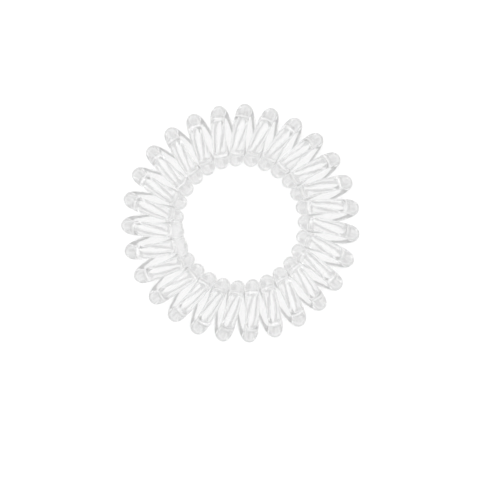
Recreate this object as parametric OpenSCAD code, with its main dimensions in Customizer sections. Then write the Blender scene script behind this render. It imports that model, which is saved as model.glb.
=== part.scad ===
// Spiral hair tie, lying flat. One round cord of clear plastic is wound as a flattened
// spiral round a ring-shaped core line, and a weld bead at the hole joins its two ends.
// Millimetres. The ring's axis is +Z, and z = 0 is the surface that it lies on.

/* [Spiral] */
// Number of turns of the cord round the ring
turns = 27; // [18:1:30]
// Width of the spiral from the hole to the outer edge, measured over the cord
spiral_w = 10; // [9:0.25:14]
// Height of the spiral, measured over the cord
spiral_h = 7; // [5.5:0.25:8.5]
// Diameter of the round cord
cord_d = 2.3; // [1.6:0.05:2.6]
// Gap between neighbouring turns at the hole, where they are closest
turn_gap = 0.05; // [0.02:0.01:0.5]
// Direction of the turn that the spiral starts with, from +X towards +Y
first_turn_angle = 88; // [0:1:359]

/* [Weld] */
// Number of turns from the first one to the middle of the weld bead
weld_turn = 7.85; // [0:0.05:17]
// Number of turns that the weld bead reaches across
weld_reach = 1.8; // [1:0.1:4]
// Thickness of the weld bead
weld_d = 1.9; // [1.4:0.05:2.4]
// Depth of the weld bead in the turns under it
weld_sink = 1.05; // [0.9:0.05:1.3]
// Place of the weld bead round the inner bend: 90 is on top, 180 is at the hole
weld_place = 134; // [110:1:170]

/* [Hidden] */

// Facets: rings of points along a half bend and a level run, points round the cord, and
// steps and sides of the weld bead
BEND_RINGS = 4;
RUN_RINGS = 2;
CORD_SIDES = 10;
WELD_STEPS = 9;
WELD_SIDES = 10;

// Seen along the core line, the cord's centre line is a flat loop: a level run on top, a
// round bend at the hole, a level run below and a round bend at the outer edge
bend_r = (spiral_h - cord_d) / 2;
run_l = spiral_w - spiral_h;
half_bend_l = bend_r * PI / 2;
loop_l = 4 * half_bend_l + 2 * run_l;
rings_per_turn = 4 * BEND_RINGS + 2 * RUN_RINGS;
ring_count = turns * rings_per_turn;

// The turns stand one cord and one gap apart at the hole, measured square to the cord,
// and that sets how large the ring is
turn_step = cord_d + turn_gap;
hole_line_r = turns * turn_step / (2 * PI * sqrt(1 - pow(turn_step / loop_l, 2)));
core_r = hole_line_r + bend_r + run_l / 2;

// How much of one stretch lies behind a way that starts before it
function passed(way, start, length) = min(max(way - start, 0), length);

// Unit vectors out from the ring's axis and along the ring, at one direction
function outward(angle) = [cos(angle), sin(angle), 0];
function around(angle) = [-sin(angle), cos(angle), 0];

// A point beside the core line: how far out from it, how high over it, and the direction
function beside_core(out, up, angle) =
    (core_r + out) * outward(angle) + [0, 0, spiral_h / 2 + up];

// One loop of the centre line, after a way along it from its outermost point upwards: the
// way gone on the top run and the lower run, and the angle turned on the bends
function top_way(way) = passed(way, half_bend_l, run_l);
function low_way(way) = passed(way, 3 * half_bend_l + run_l, run_l);
function bend_angle(way) = (way - top_way(way) - low_way(way)) / bend_r * 180 / PI;

// The way along its loop at which one ring of points lies, counted from the loop's start
function ring_way(ring) =
    let (
        on_top = passed(ring, BEND_RINGS, RUN_RINGS),
        on_low = passed(ring, 3 * BEND_RINGS + RUN_RINGS, RUN_RINGS)
    )
    (ring - on_top - on_low) * half_bend_l / BEND_RINGS
    + (on_top + on_low) * run_l / RUN_RINGS;

// The cord's centre, a unit vector square to it and away from the core line, and the
// other unit vector square to it, where it has gone one way along one of the loops
function cord_angle(loop, way) = first_turn_angle + 360 * (loop + way / loop_l) / turns;
function cord_out(way) =
    bend_r * cos(bend_angle(way)) + run_l / 2 - top_way(way) + low_way(way);
function cord_centre(loop, way) =
    beside_core(cord_out(way), bend_r * sin(bend_angle(way)), cord_angle(loop, way));
function cord_away(loop, way) =
    cos(bend_angle(way)) * outward(cord_angle(loop, way)) + [0, 0, sin(bend_angle(way))];
function cord_across(loop, way) =
    let (
        bend = bend_angle(way),
        angle = cord_angle(loop, way),
        drift = 2 * PI * (core_r + cord_out(way)) / (turns * loop_l),
        along = [0, 0, cos(bend)] - sin(bend) * outward(angle) + drift * around(angle),
        v = cross(along, cord_away(loop, way))
    )
    v / norm(v);

function cord_ring(loop, way) = [
    for (side = [0:CORD_SIDES - 1])
        let (a = 360 * side / CORD_SIDES)
        cord_centre(loop, way)
        + cord_d / 2 * (cos(a) * cord_away(loop, way) + sin(a) * cord_across(loop, way))
];

// The two triangles between one ring of points and the next, at one side of the cord
function skin(ring, side) =
    let (
        here = ring * CORD_SIDES,
        next = ((ring + 1) % ring_count) * CORD_SIDES,
        other = (side + 1) % CORD_SIDES
    )
    [
        [here + side, next + side, next + other],
        [here + side, next + other, here + other]
    ];

module cord() {
    points = [
        for (loop = [0:turns - 1])
            for (ring = [0:rings_per_turn - 1])
                each cord_ring(loop, ring_way(ring))
    ];
    faces = [
        for (ring = [0:ring_count - 1])
            for (side = [0:CORD_SIDES - 1])
                each skin(ring, side)
    ];
    polyhedron(points, faces);
}

// A rounded bead laid along the inner bend, half sunk into the turns under it
module weld_bead() {
    middle = first_turn_angle + 360 * weld_turn / turns;
    reach = 360 * weld_reach / turns;
    rise = bend_r + cord_d / 2 - weld_sink + weld_d / 2;
    out = rise * cos(weld_place) - run_l / 2;
    up = rise * sin(weld_place);

    module ball(step) {
        translate(beside_core(out, up, middle + reach * (step / WELD_STEPS - 0.5)))
            sphere(d = weld_d, $fn = WELD_SIDES);
    }

    for (step = [0:WELD_STEPS - 1])
        hull() {
            ball(step);
            ball(step + 1);
        }
}

module coil() {
    color([0.93, 0.94, 0.94, 0.7])
        union() {
            cord();
            weld_bead();
        }
}

coil();
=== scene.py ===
"""Looks of a spiral hair tie: one cord of clear plastic, wound as a flattened spiral into a ring.

The ring lies on a pale floor under even studio light, and the camera looks straight down at it.
Metres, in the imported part's frame: +Z is the ring's axis and z = 0 is the floor.
"""

import math

import bmesh
import bpy
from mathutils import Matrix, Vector
from mathutils.kdtree import KDTree


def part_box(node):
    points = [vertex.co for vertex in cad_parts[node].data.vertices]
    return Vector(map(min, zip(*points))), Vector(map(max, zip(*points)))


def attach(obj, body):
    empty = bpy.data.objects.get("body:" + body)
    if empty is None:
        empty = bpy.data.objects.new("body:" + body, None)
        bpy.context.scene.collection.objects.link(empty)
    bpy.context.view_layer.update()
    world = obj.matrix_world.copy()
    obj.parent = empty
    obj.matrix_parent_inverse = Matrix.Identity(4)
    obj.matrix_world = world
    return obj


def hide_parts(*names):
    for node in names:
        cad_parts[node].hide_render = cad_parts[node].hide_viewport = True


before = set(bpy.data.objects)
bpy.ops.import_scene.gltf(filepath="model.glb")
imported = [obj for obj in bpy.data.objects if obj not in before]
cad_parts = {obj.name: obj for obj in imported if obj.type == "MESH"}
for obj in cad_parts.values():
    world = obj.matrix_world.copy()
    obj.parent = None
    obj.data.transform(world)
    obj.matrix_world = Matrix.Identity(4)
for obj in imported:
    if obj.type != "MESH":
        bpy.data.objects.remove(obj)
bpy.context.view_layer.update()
coil_low, coil_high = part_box("coil")

# The spiral's driving sizes are those of the part, and its height is the frame's
TURNS = 27
SPIRAL_W = 10e-3
SPIRAL_H = coil_high.z - coil_low.z
CORD_D = 2.3e-3
TURN_GAP = 0.05e-3
FIRST_TURN_ANGLE = math.radians(88)

# The weld bead: where it is, counted in turns, how far it reaches, its thickness, how deep
# it lies in the turns, and its place round the inner bend
WELD_TURN = 7.85
WELD_REACH = 1.8
WELD_D = 1.9e-3
WELD_SINK = 1.05e-3
WELD_PLACE = math.radians(134)

# Worked out from these: one loop of the cord's centre line is two half-round bends and two
# level runs, and the turns stand one cord and one gap apart at the hole
BEND_R = (SPIRAL_H - CORD_D) / 2
RUN_L = SPIRAL_W - SPIRAL_H
HALF_BEND_L = BEND_R * math.pi / 2
LOOP_L = 4 * HALF_BEND_L + 2 * RUN_L
TURN_STEP = CORD_D + TURN_GAP
HOLE_LINE_R = TURNS * TURN_STEP / (2 * math.pi * math.sqrt(1 - (TURN_STEP / LOOP_L) ** 2))
CORE_R = HOLE_LINE_R + BEND_R + RUN_L / 2

# How finely the cord and the bead are modelled
RINGS_PER_TURN = 64
CORD_SIDES = 32
WELD_RINGS = 40
WELD_SIDES = 28
WELD_END_RINGS = 8

# The name under which the cord's points keep their places on its skin
SKIN_PLACE = "skin_place"

# The photograph's frame and where the ring is in it, in pixels
FRAME_PX = 480
RING_CENTRE_PX = (240.45, 223.3)
RING_PX = 239.2
RING_D = 38e-3
METRES_PER_PX = RING_D / RING_PX
CAMERA_HEIGHT = 0.7
CAMERA_ROLL = math.radians(0.3)
SENSOR_W = 36

# How many times light may pass into or out of plastic, and be mirrored or scattered by it
CLEAR_BOUNCES = 32
OTHER_BOUNCES = 16

# Light from below, by the direction's slope from straight down: a bright square panel, and
# a darker band round it
PANEL_EDGE = 0.42
PANEL_BLUR = 0.04
BAND_EDGE = 1.15
BAND_BLUR = 0.25
PANEL_LIGHT = 0.97
BAND_LIGHT = 0.44

# Light everywhere else: bright above and obliquely below, and dimmer near the horizon, where
# it swings from brighter to darker and back a number of times on the way round, as upright
# light panels with gaps between them do
STUDIO_LIGHT = 1.2
WALL_LIGHT = 0.6
WALL_FADES = 0.2
WALL_ENDS = 0.6
SIDE_PANELS = 8
SIDE_SWING = 0.45

# A slope is worked out with a downward part of at least this much
LEAST_DOWN = 0.001

# How far the floor and the backdrop reach
STAGE_R = 1.5
BACKDROP_SEGMENTS = 48

# A soft lamp over the ring's far left side
LAMP_WATTS = 0.5
LAMP_SIZE = 0.3
LAMP_PLACE = (-0.4, 0.4, 0.4)

# The plastic: how strongly it bends light, and how much of the light is scattered in it, per
# metre
PLASTIC_IOR = 1.53
HAZE_DENSITY = 170

# Its skin: how rough it is away from the weld and on the melted plastic round it
SKIN_ROUGHNESS = 0.03
WELD_ROUGHNESS = 0.2
MELTED_R = 2.6e-3
MELTED_FADE = 0.8e-3

# By what share the roughness goes down and up in patches, between two values of their noise
ROUGHNESS_SWING = 0.3
PATCHES_PER_METRE = 210
PATCH_LOW = 0.35
PATCH_HIGH = 0.65

# Faint lines drawn along the cord when it was pressed out, and soft waves all over it
LINE_HEIGHT = 40e-6
LINES_PER_RADIUS = 2.5
LINE_STRETCH = 40
WAVE_HEIGHT = 8e-6
WAVES_PER_METRE = 420


def outward(angle):
    """Unit vector out from the ring's axis."""
    return Vector((math.cos(angle), math.sin(angle), 0))


def around(angle):
    """Unit vector along the ring."""
    return Vector((-math.sin(angle), math.cos(angle), 0))


def beside_core(out, up, angle):
    """Point at a distance out from the core line and a height over it."""
    return (CORE_R + out) * outward(angle) + Vector((0, 0, SPIRAL_H / 2 + up))


def passed(way, start, length):
    """How much of one stretch lies behind a way that starts before it."""
    return min(max(way - start, 0), length)


def cord_section(turn):
    """The cord's centre after a number of turns, and two unit vectors square to the cord."""
    way = turn % 1 * LOOP_L
    top_way = passed(way, HALF_BEND_L, RUN_L)
    low_way = passed(way, 3 * HALF_BEND_L + RUN_L, RUN_L)
    bend = (way - top_way - low_way) / BEND_R
    angle = FIRST_TURN_ANGLE + 2 * math.pi * turn / TURNS
    out = BEND_R * math.cos(bend) + RUN_L / 2 - top_way + low_way
    drift = 2 * math.pi * (CORE_R + out) / (TURNS * LOOP_L)
    away = math.cos(bend) * outward(angle) + Vector((0, 0, math.sin(bend)))
    along = Vector((0, 0, math.cos(bend))) - math.sin(bend) * outward(angle)
    across = (along + drift * around(angle)).cross(away).normalized()
    return beside_core(out, BEND_R * math.sin(bend), angle), away, across


def weld_section(share):
    """The bead's centre and the two unit vectors square to it, at a share of its reach."""
    angle = FIRST_TURN_ANGLE + 2 * math.pi * (WELD_TURN + WELD_REACH * (share - 0.5)) / TURNS
    rise = BEND_R + CORD_D / 2 - WELD_SINK + WELD_D / 2
    out = rise * math.cos(WELD_PLACE) - RUN_L / 2
    up = rise * math.sin(WELD_PLACE)
    return beside_core(out, up, angle), outward(angle), Vector((0, 0, 1))


def mesh_object(name, points, faces):
    """A smooth mesh object with its faces turned outwards."""
    mesh = bpy.data.meshes.new(name)
    mesh.from_pydata(points, [], faces)
    shape = bmesh.new()
    shape.from_mesh(mesh)
    bmesh.ops.recalc_face_normals(shape, faces=shape.faces)
    shape.to_mesh(mesh)
    shape.free()
    mesh.shade_smooth()
    piece = bpy.data.objects.new(name, mesh)
    bpy.context.collection.objects.link(piece)
    return piece


def ring_of_points(centre, first, second, radius, sides):
    """Points round a centre, in the plane of two unit vectors."""
    return [
        centre + radius * (math.cos(a) * first + math.sin(a) * second)
        for a in (2 * math.pi * side / sides for side in range(sides))
    ]


def skin(ring_pairs, sides):
    """Faces between pairs of rings of points."""
    return [
        (
            here * sides + side,
            here * sides + (side + 1) % sides,
            following * sides + (side + 1) % sides,
            following * sides + side,
        )
        for here, following in ring_pairs
        for side in range(sides)
    ]


def make_cord():
    """The endless cord: rings of points along the spiral, joined into one tube.

    Each point also keeps its place on the skin of a plain ring of cord, in cord radii. That
    ring is as much shorter than the cord as the lines on its skin are drawn out.
    """
    ring_count = TURNS * RINGS_PER_TURN
    plain_ring_r = TURNS * LOOP_L / (2 * math.pi * LINE_STRETCH * CORD_D / 2)
    points = []
    places = []
    for ring in range(ring_count):
        turn = ring / RINGS_PER_TURN
        centre, away, across = cord_section(turn)
        points += ring_of_points(centre, away, across, CORD_D / 2, CORD_SIDES)
        out = outward(2 * math.pi * turn / TURNS)
        for place in ring_of_points(plain_ring_r * out, out, Vector((0, 0, 1)), 1, CORD_SIDES):
            places.extend(place)
    pairs = [(ring, (ring + 1) % ring_count) for ring in range(ring_count)]
    cord = mesh_object("spiral_cord", points, skin(pairs, CORD_SIDES))
    attribute = cord.data.attributes.new(SKIN_PLACE, "FLOAT_VECTOR", "POINT")
    attribute.data.foreach_set("vector", places)
    return cord


def make_weld_bead():
    """A round bead along the inner bend, with rounded ends."""
    length = 2 * math.pi * WELD_REACH / TURNS * HOLE_LINE_R
    stations = []
    for ring in range(1, WELD_END_RINGS + 1):
        lift = math.pi / 2 * ring / WELD_END_RINGS
        stations.append((-math.cos(lift) * WELD_D / 2 / length, math.sin(lift)))
    for ring in range(1, WELD_RINGS):
        stations.append((ring / WELD_RINGS, 1))
    for ring in range(WELD_END_RINGS, 0, -1):
        lift = math.pi / 2 * ring / WELD_END_RINGS
        stations.append((1 + math.cos(lift) * WELD_D / 2 / length, math.sin(lift)))
    points = []
    for share, width in stations:
        centre, out, up = weld_section(share)
        points += ring_of_points(centre, out, up, WELD_D / 2 * width, WELD_SIDES)
    pairs = [(ring, ring + 1) for ring in range(len(stations) - 1)]
    faces = skin(pairs, WELD_SIDES)
    last = (len(stations) - 1) * WELD_SIDES
    faces.append(tuple(range(WELD_SIDES)))
    faces.append(tuple(last + side for side in range(WELD_SIDES)))
    return mesh_object("weld_bead", points, faces)


def unite(piece, other):
    """Melts another mesh into the piece, so that no surface is left inside.

    Each point of the union takes the place on the skin of the piece's nearest point.
    """
    union = piece.modifiers.new("union", "BOOLEAN")
    union.operation = "UNION"
    union.solver = "EXACT"
    union.object = other
    depsgraph = bpy.context.evaluated_depsgraph_get()
    mesh = bpy.data.meshes.new_from_object(piece.evaluated_get(depsgraph))
    nearest = KDTree(len(piece.data.vertices))
    for vertex in piece.data.vertices:
        nearest.insert(vertex.co, vertex.index)
    nearest.balance()
    old_places = piece.data.attributes[SKIN_PLACE].data
    new_places = mesh.attributes[SKIN_PLACE].data
    for vertex in mesh.vertices:
        _, index, _ = nearest.find(vertex.co)
        new_places[vertex.index].vector = old_places[index].vector
    piece.modifiers.clear()
    piece.data = mesh
    bpy.data.objects.remove(other)
    mesh.shade_smooth()


def new_material(name):
    """A node material, with its tree and its shader."""
    material = bpy.data.materials.new(name)
    material.use_nodes = True
    tree = material.node_tree
    return material, tree, tree.nodes["Principled BSDF"]


def feed(tree, socket, value):
    """Sets a socket to a number, or links another node's output to it."""
    if isinstance(value, (int, float)):
        socket.default_value = value
    else:
        tree.links.new(value, socket)


def calculate(tree, operation, first, second):
    """The result of one step of arithmetic."""
    node = tree.nodes.new("ShaderNodeMath")
    node.operation = operation
    feed(tree, node.inputs[0], first)
    feed(tree, node.inputs[1], second)
    return node.outputs[0]


def spread(tree, value, start, end, first, last, step="LINEAR"):
    """A number that goes from first to last as the value goes from start to end."""
    node = tree.nodes.new("ShaderNodeMapRange")
    node.interpolation_type = step
    node.inputs["From Min"].default_value = start
    node.inputs["From Max"].default_value = end
    node.inputs["To Min"].default_value = first
    node.inputs["To Max"].default_value = last
    tree.links.new(value, node.inputs["Value"])
    return node.outputs["Result"]


def noise(tree, place, scale, detail):
    """Smooth noise, about 0 to 1, with a number of waves to each unit of the place."""
    node = tree.nodes.new("ShaderNodeTexNoise")
    node.inputs["Scale"].default_value = scale
    node.inputs["Detail"].default_value = detail
    tree.links.new(place, node.inputs["Vector"])
    return node.outputs["Fac"]


def bumps(tree, height, distance, normal=None):
    """The skin's normal over bumps of a height times a distance, added to an earlier one."""
    node = tree.nodes.new("ShaderNodeBump")
    feed(tree, node.inputs["Distance"], distance)
    tree.links.new(height, node.inputs["Height"])
    if normal is not None:
        tree.links.new(normal, node.inputs["Normal"])
    return node.outputs["Normal"]


def clear_plastic():
    """Clear, faintly hazy plastic with drawn lines and soft waves, duller round the weld."""
    material, tree, shader = new_material("clear_plastic")
    shader.inputs["Base Color"].default_value = (1, 1, 1, 1)
    shader.inputs["Transmission Weight"].default_value = 1
    shader.inputs["IOR"].default_value = PLASTIC_IOR

    haze = tree.nodes.new("ShaderNodeVolumeScatter")
    haze.inputs["Color"].default_value = (1, 1, 1, 1)
    haze.inputs["Density"].default_value = HAZE_DENSITY
    haze.inputs["Anisotropy"].default_value = 0
    tree.links.new(haze.outputs["Volume"], tree.nodes["Material Output"].inputs["Volume"])

    place = tree.nodes.new("ShaderNodeTexCoord").outputs["Object"]
    to_weld = tree.nodes.new("ShaderNodeVectorMath")
    to_weld.operation = "DISTANCE"
    to_weld.inputs[1].default_value = weld_section(0.5)[0]
    tree.links.new(place, to_weld.inputs[0])
    melted = spread(tree, to_weld.outputs["Value"], MELTED_R, MELTED_R - MELTED_FADE, 0, 1)

    plain = spread(tree, melted, 0, 1, SKIN_ROUGHNESS, WELD_ROUGHNESS)
    patches = noise(tree, place, PATCHES_PER_METRE, detail=2)
    less, more = 1 - ROUGHNESS_SWING, 1 + ROUGHNESS_SWING
    varied = spread(tree, patches, PATCH_LOW, PATCH_HIGH, less, more)
    tree.links.new(calculate(tree, "MULTIPLY", plain, varied), shader.inputs["Roughness"])

    skin_place = tree.nodes.new("ShaderNodeAttribute")
    skin_place.attribute_name = SKIN_PLACE
    lines = noise(tree, skin_place.outputs["Vector"], LINES_PER_RADIUS, detail=3)
    drawn = bumps(tree, lines, spread(tree, melted, 0, 1, LINE_HEIGHT, 0))
    waves = noise(tree, place, WAVES_PER_METRE, detail=1)
    tree.links.new(bumps(tree, waves, WAVE_HEIGHT, drawn), shader.inputs["Normal"])
    return material


def make_coil():
    """The cord and its weld bead as one piece, in place of the plain solid."""
    coil = make_cord()
    unite(coil, make_weld_bead())
    coil.data.materials.append(clear_plastic())
    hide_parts("coil")
    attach(coil, "root")


def make_floor():
    """A plain pale floor. It isn't seen in or through the cord, which shows the light below."""
    size = STAGE_R
    corners = [(-size, -size, 0), (size, -size, 0), (size, size, 0), (-size, size, 0)]
    floor = mesh_object("floor", corners, [(0, 1, 2, 3)])
    material, _, shader = new_material("pale_floor")
    shader.inputs["Base Color"].default_value = (1, 1, 1, 1)
    shader.inputs["Roughness"].default_value = 1
    shader.inputs["Specular IOR Level"].default_value = 0
    floor.data.materials.append(material)
    floor.visible_transmission = False
    floor.visible_glossy = False


def make_backdrop():
    """A plain white dome behind everything, which only the camera sees."""
    shape = bmesh.new()
    bmesh.ops.create_uvsphere(
        shape,
        u_segments=BACKDROP_SEGMENTS,
        v_segments=BACKDROP_SEGMENTS // 2,
        radius=STAGE_R,
    )
    mesh = bpy.data.meshes.new("backdrop")
    shape.to_mesh(mesh)
    shape.free()
    material, _, shader = new_material("white_backdrop")
    shader.inputs["Base Color"].default_value = (0, 0, 0, 1)
    shader.inputs["Specular IOR Level"].default_value = 0
    shader.inputs["Emission Color"].default_value = (1, 1, 1, 1)
    shader.inputs["Emission Strength"].default_value = 1
    mesh.materials.append(material)
    dome = bpy.data.objects.new("backdrop", mesh)
    bpy.context.collection.objects.link(dome)
    dome.visible_diffuse = False
    dome.visible_glossy = False
    dome.visible_transmission = False
    dome.visible_volume_scatter = False
    dome.visible_shadow = False


def make_lamp():
    """One soft lamp, for gentle highlights on the plastic."""
    light = bpy.data.lights.new("lamp", "AREA")
    light.energy = LAMP_WATTS
    light.size = LAMP_SIZE
    lamp = bpy.data.objects.new("lamp", light)
    bpy.context.collection.objects.link(lamp)
    lamp.location = LAMP_PLACE
    lamp.rotation_euler = (-Vector(LAMP_PLACE)).to_track_quat("-Z", "Y").to_euler()


def make_world():
    """White studio light all round, with the panel and its darker band below."""
    world = bpy.data.worlds.new("studio")
    bpy.context.scene.world = world
    world.use_nodes = True
    tree = world.node_tree

    def mix(share, outer, inner):
        """The inner number where the share is 1 and the outer one where it is 0."""
        change = calculate(tree, "MULTIPLY", share, calculate(tree, "SUBTRACT", inner, outer))
        return calculate(tree, "ADD", outer, change)

    def inside(value, edge, blur):
        """1 where the value is under an edge, softly falling to 0 past it."""
        return spread(tree, value, edge - blur, edge + blur, 1, 0, "SMOOTHSTEP")

    direction = tree.nodes.new("ShaderNodeTexCoord")
    split = tree.nodes.new("ShaderNodeSeparateXYZ")
    tree.links.new(direction.outputs["Generated"], split.inputs[0])
    x, y, z = split.outputs
    x_size = calculate(tree, "ABSOLUTE", x, 0)
    y_size = calculate(tree, "ABSOLUTE", y, 0)
    z_size = calculate(tree, "ABSOLUTE", z, 0)
    sideways = calculate(tree, "MAXIMUM", x_size, y_size)
    down = calculate(tree, "MAXIMUM", calculate(tree, "MULTIPLY", z, -1), LEAST_DOWN)
    slope = calculate(tree, "DIVIDE", sideways, down)

    turned = calculate(tree, "MULTIPLY", calculate(tree, "ARCTAN2", y, x), SIDE_PANELS)
    swing = calculate(tree, "MULTIPLY", calculate(tree, "COSINE", turned, 0), SIDE_SWING)
    at_wall = spread(tree, z_size, WALL_FADES, WALL_ENDS, 1, 0, "SMOOTHSTEP")
    studio = mix(at_wall, STUDIO_LIGHT, calculate(tree, "ADD", swing, WALL_LIGHT))
    below = mix(inside(slope, BAND_EDGE, BAND_BLUR), studio, BAND_LIGHT)
    light = mix(inside(slope, PANEL_EDGE, PANEL_BLUR), below, PANEL_LIGHT)
    tree.links.new(light, tree.nodes["Background"].inputs["Color"])


def make_camera():
    """The camera looks straight down, with the ring where the photograph has it."""
    camera = bpy.data.objects.new("camera", bpy.data.cameras.new("camera"))
    bpy.context.collection.objects.link(camera)
    middle = FRAME_PX / 2
    camera.location = (
        -(RING_CENTRE_PX[0] - middle) * METRES_PER_PX,
        (RING_CENTRE_PX[1] - middle) * METRES_PER_PX,
        CAMERA_HEIGHT,
    )
    camera.rotation_euler[2] = CAMERA_ROLL
    camera.data.sensor_width = SENSOR_W
    widest_at = CAMERA_HEIGHT - SPIRAL_H / 2
    camera.data.lens = SENSOR_W * widest_at / (FRAME_PX * METRES_PER_PX)
    bpy.context.scene.camera = camera


def set_rendering():
    """Plain colours, and enough bounces for light to pass through many turns."""
    scene = bpy.context.scene
    scene.view_settings.view_transform = "Standard"
    scene.cycles.max_bounces = CLEAR_BOUNCES
    scene.cycles.transmission_bounces = CLEAR_BOUNCES
    scene.cycles.glossy_bounces = OTHER_BOUNCES
    scene.cycles.volume_bounces = OTHER_BOUNCES
    scene.cycles.blur_glossy = 0


make_camera()
set_rendering()
make_world()
make_lamp()
make_floor()
make_backdrop()
make_coil()
